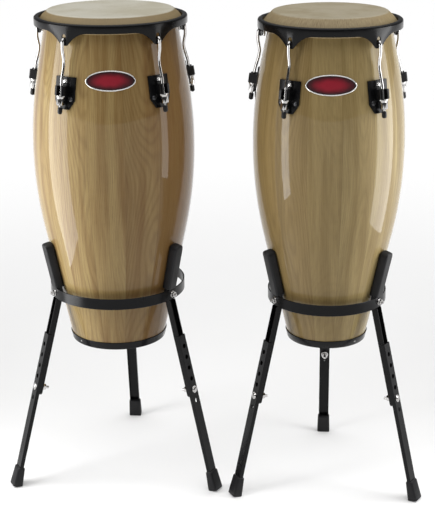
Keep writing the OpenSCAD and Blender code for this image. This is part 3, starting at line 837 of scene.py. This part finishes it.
def hook_path(drum):
    """The bent part of a hook: its tip, the bend over the ear and the wavy rod down to the block."""
    ear, z = drum.rim_r - RIM_WALL / 2, drum.rim_z - HOOK_DROP
    bend = [(ear - HOOK_BEND_R, z - 7), (ear - HOOK_BEND_R, z - 3)]
    bend += arc(HOOK_BEND_R, 180, 0, (ear, z))
    line = [(ear + HOOK_BEND_R, z - 1)] + [(ear + HOOK_BEND_R + out, z - down) for down, out in HOOK_LINE]
    line += [lug_point(drum, 14), lug_point(drum, 4), lug_point(drum, -24)]
    return bend + [(p.x, p.y) for p in smooth_path(line, 6)]


def build_hooks(drum):
    """Each hook is a bent rod and its threaded end, which carries the thread from thread_at down."""
    steps, thread_at, thread_l, thread_deep = 90, -24, 12, 0.25
    bent = [(r, 0, z) for r, z in hook_path(drum)]
    threaded = [(0, 0, thread_at - thread_l * i / steps) for i in range(steps + 1)]

    def thread(length, turn):
        return ROD_R - thread_deep + thread_deep * math.cos(2 * math.pi * length / THREAD_PITCH - turn)

    bm = bmesh.new()
    for k in range(1, LUGS + 1):
        add_tube(bm, bent, ROD_R, drum.turned(drum.lug_angle(k)), sides=18)
        add_tube(bm, threaded, thread, drum.rod_frame(k), sides=18, round_ends=False)
    name = drum.name
    add_piece(f"{name}_hooks", bm, f"{name}_rim_and_hooks", [CHROME],
              [f"{name}_tuning_hooks"], 50)


def build_caps(drum):
    profile = [(0, 0), (2.2, 0.15), (3.8, 1.0), (4.8, 2.6), (5, 4.5), (5, CAP_L - 1), (4.6, CAP_L),
               (0, CAP_L)]
    bm = bmesh.new()
    for k in range(1, LUGS + 1):
        place = drum.rod_frame(k) @ Matrix.Translation((0, 0, -CAP_DROP - CAP_L))
        add_lathe(bm, profile, place, segments=28, ring=False)
    name = drum.name
    add_piece(f"{name}_rubber_caps", bm, f"{name}_rim_and_hooks", [RUBBER],
              [f"{name}_hook_caps"], 50)


def build_tuning_nut(drum, k):
    """A washer and a long nut with a flared collar."""
    bore = ROD_R + 1.1
    under = NUT_TOP - 1.8
    neck = under - 4.5
    washer = [(bore, NUT_TOP), (9.8, NUT_TOP), (10.2, NUT_TOP - 0.4), (10.2, under + 0.4), (9.8, under),
              (bore, under)]
    collar = [(bore, under), (9.0, under), (9.4, under - 0.6), (9.1, under - 1.8), (7.4, neck),
              (bore, neck)]
    bm = bmesh.new()
    place = drum.rod_frame(k)
    add_lathe(bm, washer, place, segments=40)
    add_lathe(bm, collar, place, segments=40)
    add_hex(bm, 8.3, NUT_LOW, neck + 0.3, bore, place)
    name = f"{drum.name}_tuning_nut_{k}"
    add_piece(f"{name}_hexagon", bm, name, [CHROME], [name])


# ---- stand pieces ----


def build_strap(drum):
    r, z, h = drum.strap_r, drum.strap_z, STRAP_H / 2
    profile = [(r + 0.5, z - h), (r + STRAP_T - 0.7, z - h), (r + STRAP_T, z - h + 0.7),
               (r + STRAP_T, z + h - 0.7), (r + STRAP_T - 0.7, z + h), (r + 0.5, z + h), (r, z + h - 0.5),
               (r, z - h + 0.5)]
    bm = bmesh.new()
    add_lathe(bm, profile, drum.turned(), segments=ROUND_SEGMENTS)
    name = drum.name
    add_piece(f"{name}_strap_ring", bm, "stands", [BLACK], [f"{name}_stand_strap"])


def sleeve_rows():
    """Rounded cross-sections up a padded arm, drawn in over its round top."""
    low, foot_bevel, half_w, corner, shoulder = 16, 0.6, 14, 4.5, 11.0
    levels = [low, low + foot_bevel] + [17 + 23 * i for i in range(5)]
    levels += [ARM_L - shoulder + shoulder * math.sin(i * math.pi / 20) for i in range(11)]
    rows = []
    for z in levels:
        over = max(0.0, z - (ARM_L - shoulder))
        rise = max(0.0, z - (ARM_L - corner))
        cut = foot_bevel if z == low else 0.0
        half = half_w - shoulder + math.sqrt(max(0.0, shoulder ** 2 - over ** 2)) - cut
        inset = corner - math.sqrt(max(0.0, corner ** 2 - rise ** 2)) + cut
        x0, x1 = -SLEEVE_PAD + inset, UP_D + SLEEVE_OUT - inset
        section = rounded([(x0, -half), (x1, -half), (x1, half), (x0, half)], corner)
        rows.append([(x, y, z) for x, y in section])
    return rows


def build_sleeves(drum):
    bm = bmesh.new()
    for k in range(1, LEGS + 1):
        add_grid(bm, sleeve_rows(), drum.arm_frame(k), caps=True)
    name = drum.name
    add_piece(f"{name}_padded_sleeves", bm, "stands", [RUBBER], [f"{name}_arm_sleeves"], 45)


def build_strap_bolts(drum):
    reach = UP_D / math.cos(drum.low_lean) + STRAP_T
    bolt = [(0, -1.5), (4.2, -1.5), (5, -1), (5, 0), (3, 0), (3, reach + 10.4), (2.4, reach + 11),
            (0, reach + 11)]
    washer = [(3.1, reach), (7.2, reach), (7.5, reach + 0.4), (7.5, reach + 1.1), (7.2, reach + 1.5),
              (3.1, reach + 1.5)]
    bm = bmesh.new()
    for k in range(1, LEGS + 1):
        place = drum.strap_frame(k) @ Z_OUTWARDS
        add_lathe(bm, bolt, place, segments=28, ring=False)
        add_lathe(bm, washer, place, segments=36)
        add_hex(bm, 6.6, reach + 1.5, reach + 7, 3.05, place)
    name = drum.name
    add_piece(f"{name}_strap_fasteners", bm, "stands", [CHROME], [f"{name}_strap_bolts"])


def build_leg_bolts(drum):
    face = UP_D + LEG_SLIP + LEG_T + LEG_SLIP
    shaft = [(0, -16), (2.4, -16), (3, -15.4), (3, face)]
    flange = [(7.6, face), (8, face + 0.3), (8, face + 0.8), (7.6, face + 1.1)]
    head = [(5.9, face + 1.1), (5.6, face + 2), (4.4, face + 3), (2.4, face + 3.5), (0, face + 3.6)]
    bm = bmesh.new()
    for k in range(1, LEGS + 1):
        place = drum.clamp_frame(k) @ Z_OUTWARDS
        add_lathe(bm, shaft + flange + head, place, segments=32, ring=False)
    name = drum.name
    add_piece(f"{name}_clamp_bolts", bm, "stands", [CHROME], [f"{name}_leg_bolts"])


def build_clamp_nut(drum, k):
    """A flanged hexagon nut on the inner end of the clamp bolt."""
    gap, bore = 0.3, 3.3
    flange = [(bore, 0), (7.7, 0), (8, 0.3), (8, 1.0), (7.4, 1.5), (6.4, 1.7), (bore, 1.7)]
    place = drum.clamp_frame(k) @ Matrix.Translation((-gap, 0, 0)) @ Z_INWARDS
    bm = bmesh.new()
    add_lathe(bm, flange, place, segments=40)
    add_hex(bm, 7.2, 1.6, 7.6, bore, place)
    name = f"{drum.name}_clamp_nut_{k}"
    add_piece(f"{name}_hexagon", bm, name, [CHROME], [name])


def build_lower_leg(drum, k):
    """A channel with its open side inwards and a row of round height holes."""
    place = drum.clamp_frame(k)
    out, half = LEG_X + LEG_D / 2, LEG_W / 2
    back, web = out - LEG_D, out - LEG_T
    section = [(back, -half), (out, -half), (out, half), (back, half), (back, half - LEG_T),
               (web, half - LEG_T), (web, LEG_T - half), (back, LEG_T - half)]
    sole, past = 6, 3
    ends = (drum.floor_along(k) + sole, LEG_ABOVE_BOLT)
    bm = bmesh.new()
    add_grid(bm, [[(x, y, z) for x, y in section] for z in ends], place, caps=True)
    name = f"{drum.name}_lower_leg_{k}"
    obj = new_object(f"{name}_channel", bm, [BLACK], 35)
    cutter = bmesh.new()
    for i in range(-1, HOLES_UP + 1):
        hole = arc(LEG_HOLE_R, 0, 345, (0, HOLE_PITCH * i))
        add_prism(cutter, hole, web - past, out + past, place)
    cut_away(obj, new_object(f"{name}_holes", cutter, []))
    soften(obj, 0.5, 35)
    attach(obj, f"{drum.name}_leg_{k}")
    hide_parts(name)


def build_foot(drum, k):
    """A rubber boot, drawn in towards its top, with its sole pressed flat on the floor."""
    place = drum.clamp_frame(k)
    floor = drum.floor_along(k)
    half_depth, half_width, corner = 11, 14.5, 4.5
    low = floor + half_depth * place.col[0].z * 1000 - 2
    top = floor + FOOT_L
    stations = [(low, 1.6), (low + 0.6, 0.6), (low + 1.8, 0.0), (low + 12, 0.0), (low + 20, 0.0),
                (top - 3, 0.0), (top - 1.0, 0.5), (top, 1.6)]
    rows = []
    for z, inset in stations:
        share = (z - low) / (top - low)
        x = half_depth - 3 * share - inset
        y = half_width - max(0.0, share - 0.3) * 1.4 - inset
        section = rounded([(LEG_X - x, -y), (LEG_X + x, -y), (LEG_X + x, y), (LEG_X - x, y)], corner)
        rows.append([(across, aside, z) for across, aside in section])
    bm = bmesh.new()
    add_grid(bm, rows, place, caps=True)
    for vert in bm.verts:
        vert.co.z = max(vert.co.z, 0.0)
    name = drum.name
    add_piece(f"{name}_boot_{k}", bm, f"{name}_leg_{k}", [RUBBER], [f"{name}_foot_{k}"], 45)


def dress_node(name, material, bevel=0.0):
    """Gives a shown CAD node its material, smooth faces and rounded edges."""
    obj = frame["nodes"][name]
    obj.data.materials.clear()
    obj.data.materials.append(material)
    if bevel:
        weld = obj.modifiers.new("weld", "WELD")
        weld.merge_threshold = 0.00001
        soften(obj, bevel, 35)


# ---- one drum with its stand ----


def build_set(name):
    drum = Drum(name, **SETS[name])
    wood = wood_material(f"{name}_staves", drum.belly_r, drum.belly_z, **WOODS[name])
    skin = skin_material(f"{name}_rawhide", drum.head_z, **SKINS[name])
    build_shell(drum, wood)
    build_head(drum, skin)
    build_bottom_band(drum)
    build_band_nails(drum)
    build_brackets(drum)
    build_bracket_bolts(drum)
    build_badge(drum)
    build_rim(drum)
    build_hooks(drum)
    build_caps(drum)
    for k in range(1, LUGS + 1):
        build_tuning_nut(drum, k)
    build_strap(drum)
    build_sleeves(drum)
    build_strap_bolts(drum)
    build_leg_bolts(drum)
    for k in range(1, LEGS + 1):
        build_clamp_nut(drum, k)
        build_lower_leg(drum, k)
        build_foot(drum, k)
    dress_node(f"{name}_stand_uprights", BLACK, 0.5)
    dress_node(f"{name}_flesh_hoop", CHROME)
    return drum


# ---- stage ----

FLOOR_HALF = 20
WORLD_FRONT = 0.04
WORLD_BACK = 0.16
WORLD_TOP = 1.75
CAMERA_AT = (0.2502, -2.9698, 1.4781)
CAMERA_TURN = 0.0083
CAMERA_DOWN = 0.2632
CAMERA_ROLL = -0.0077


def build_floor():
    bm = bmesh.new()
    corners = [(-1, -1), (1, -1), (1, 1), (-1, 1)]
    bm.faces.new([bm.verts.new((x * FLOOR_HALF, y * FLOOR_HALF, 0)) for x, y in corners])
    new_object("floor", bm, [floor_material()])


def build_world():
    """A studio that is bright overhead and dim all round. The camera itself sees plain white."""
    world = bpy.data.worlds.new("studio")
    world.use_nodes = True
    tree = world.node_tree
    place = tree.nodes.new("ShaderNodeTexCoord")
    split = tree.nodes.new("ShaderNodeSeparateXYZ")
    tree.links.new(place.outputs["Generated"], split.inputs[0])
    up = world_step(tree, split.outputs["Z"], 0.4, 0.85, 0.0, 1.0)
    back = world_step(tree, split.outputs["Y"], -0.8, 0.5, WORLD_FRONT, WORLD_BACK)
    mixed = tree.nodes.new("ShaderNodeMix")
    tree.links.new(up, mixed.inputs[0])
    tree.links.new(back, mixed.inputs[2])
    mixed.inputs[3].default_value = WORLD_TOP
    seen = tree.nodes.new("ShaderNodeMix")
    tree.links.new(tree.nodes.new("ShaderNodeLightPath").outputs["Is Camera Ray"], seen.inputs[0])
    tree.links.new(mixed.outputs[0], seen.inputs[2])
    seen.inputs[3].default_value = 1.0
    light = tree.nodes["Background"]
    light.inputs["Color"].default_value = (1.0, 1.0, 1.0, 1.0)
    tree.links.new(seen.outputs[0], light.inputs["Strength"])
    bpy.context.scene.world = world


def world_step(tree, value, low, high, to_low, to_high):
    """A smooth step of a world node's value."""
    step = tree.nodes.new("ShaderNodeMapRange")
    step.interpolation_type = "SMOOTHSTEP"
    tree.links.new(value, step.inputs[0])
    for i, number in enumerate((low, high, to_low, to_high)):
        step.inputs[i + 1].default_value = number
    return step.outputs[0]


def add_strip(drum, name, place, width, height, power):
    """An upright strip light for one drum, its stand and the floor, which the camera doesn't see."""
    data = bpy.data.lights.new(f"{drum.name}_{name}", "AREA")
    data.shape = "RECTANGLE"
    data.size = width
    data.size_y = height
    data.energy = power * width * height
    obj = bpy.data.objects.new(data.name, data)
    obj.location = drum.centre / 1000 + Vector(place)
    obj.rotation_euler = Vector((-place[0], 0, 0)).to_track_quat("-Z", "Y").to_euler()
    obj.visible_camera = False
    bpy.context.scene.collection.objects.link(obj)
    lit = bpy.data.collections.new(f"{data.name}_lit")
    for other in bpy.data.objects:
        if other.type == "MESH" and other.name.startswith((drum.name, "floor")):
            lit.objects.link(other)
    obj.light_linking.receiver_collection = lit
    obj.light_linking.blocker_collection = lit


def build_lights(large, small):
    """Places and sizes are in metres from the drum's foot, and power is in watts a square metre."""
    add_strip(large, "left_strip", (-0.56, -0.215, 0.65), 0.34, 0.9, 20)
    add_strip(large, "right_strip", (0.56, -0.2, 0.84), 0.105, 0.56, 13)
    add_strip(small, "left_strip", (-0.56, -0.28, 0.72), 0.135, 0.52, 25)
    add_strip(small, "right_strip", (0.566, -0.12, 0.72), 0.32, 0.78, 18)


def build_camera(large):
    """Looks slightly down at both drums, with the lens shifted. CAMERA_AT is from the large drum's foot."""
    data = bpy.data.cameras.new("camera")
    data.lens = 98.2
    data.sensor_width = 36
    data.shift_y = -0.15
    obj = bpy.data.objects.new("camera", data)
    aim = Matrix.Rotation(CAMERA_TURN, 4, "Z") @ Matrix.Rotation(math.pi / 2 - CAMERA_DOWN, 4, "X")
    place = large.centre / 1000 + Vector(CAMERA_AT)
    obj.matrix_world = Matrix.Translation(place) @ aim @ Matrix.Rotation(CAMERA_ROLL, 4, "Z")
    bpy.context.scene.collection.objects.link(obj)
    bpy.context.scene.camera = obj


large_drum = build_set("large")
small_drum = build_set("small")
build_floor()
build_world()
build_lights(large_drum, small_drum)
build_camera(large_drum)
bpy.context.scene.view_settings.view_transform = "Standard"
